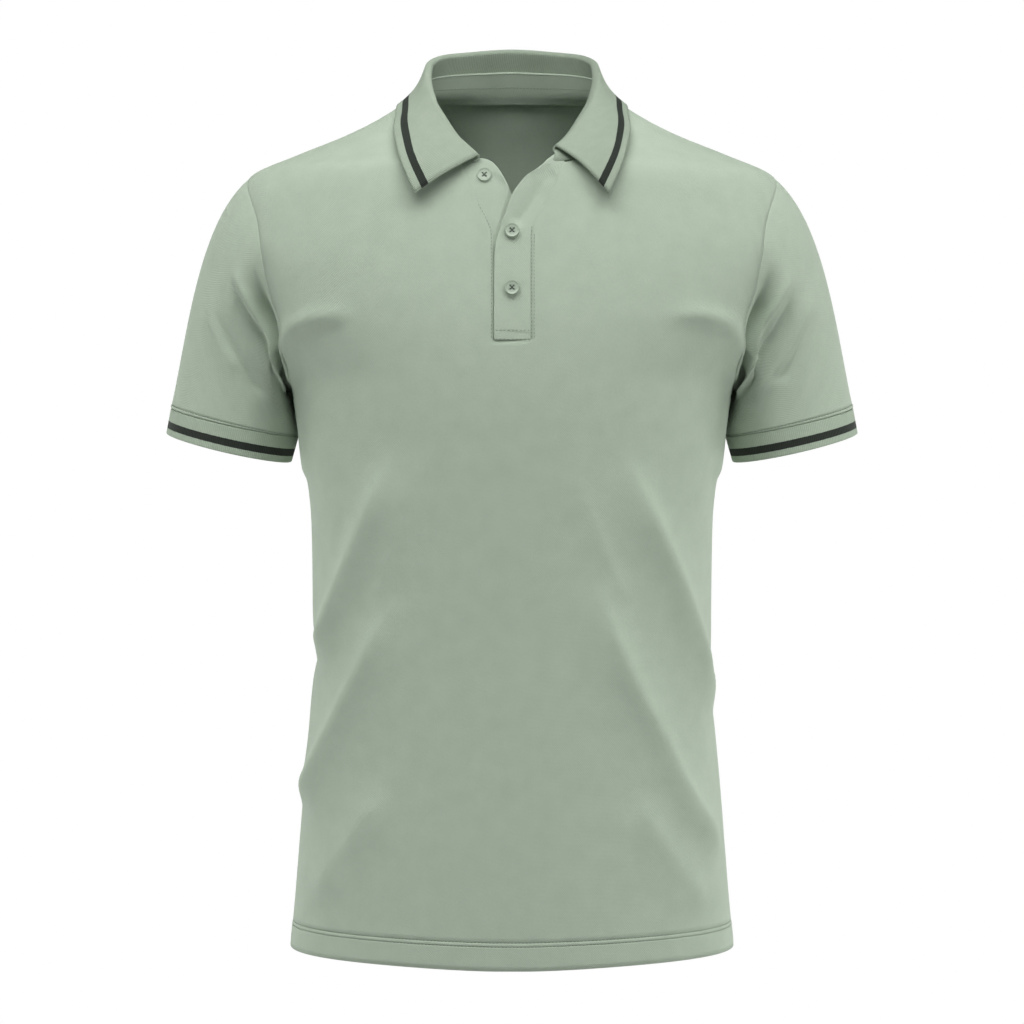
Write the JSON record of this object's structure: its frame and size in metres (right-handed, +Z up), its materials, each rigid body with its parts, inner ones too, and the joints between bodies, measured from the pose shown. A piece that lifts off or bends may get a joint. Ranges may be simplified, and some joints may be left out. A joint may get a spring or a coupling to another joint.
{
  "type": "polo shirt",
  "caption": "Short-sleeved polo shirt in its worn form: folded rib collar, half-open buttoned placket, set-in sleeves with rib cuffs, straight hem.",
  "frame": {"origin": "centre of the neck's base, where the worn shirt hangs from the wearer's neck and shoulders", "axes": "+Z up, -Y out of the shirt's front, +X towards the wearer's left sleeve"},
  "size_m": [0.5722, 0.2435, 0.7552],
  "materials": {
    "pique": "matt knitted pique",
    "rib": "matt flat rib knit",
    "tape": "matt jersey tape",
    "button": "polished resin"
  },
  "bodies": {
    "root": {"front": "pique", "back": "pique", "sleeve_left": "pique", "sleeve_right": "pique", "placket_under": "pique", "placket_upper": "pique", "collar": "rib", "cuff_left": "rib", "cuff_right": "rib", "neck_tape": "tape", "button_1": "button", "button_2": "button", "button_3": "button"}
  },
  "joints": []
}
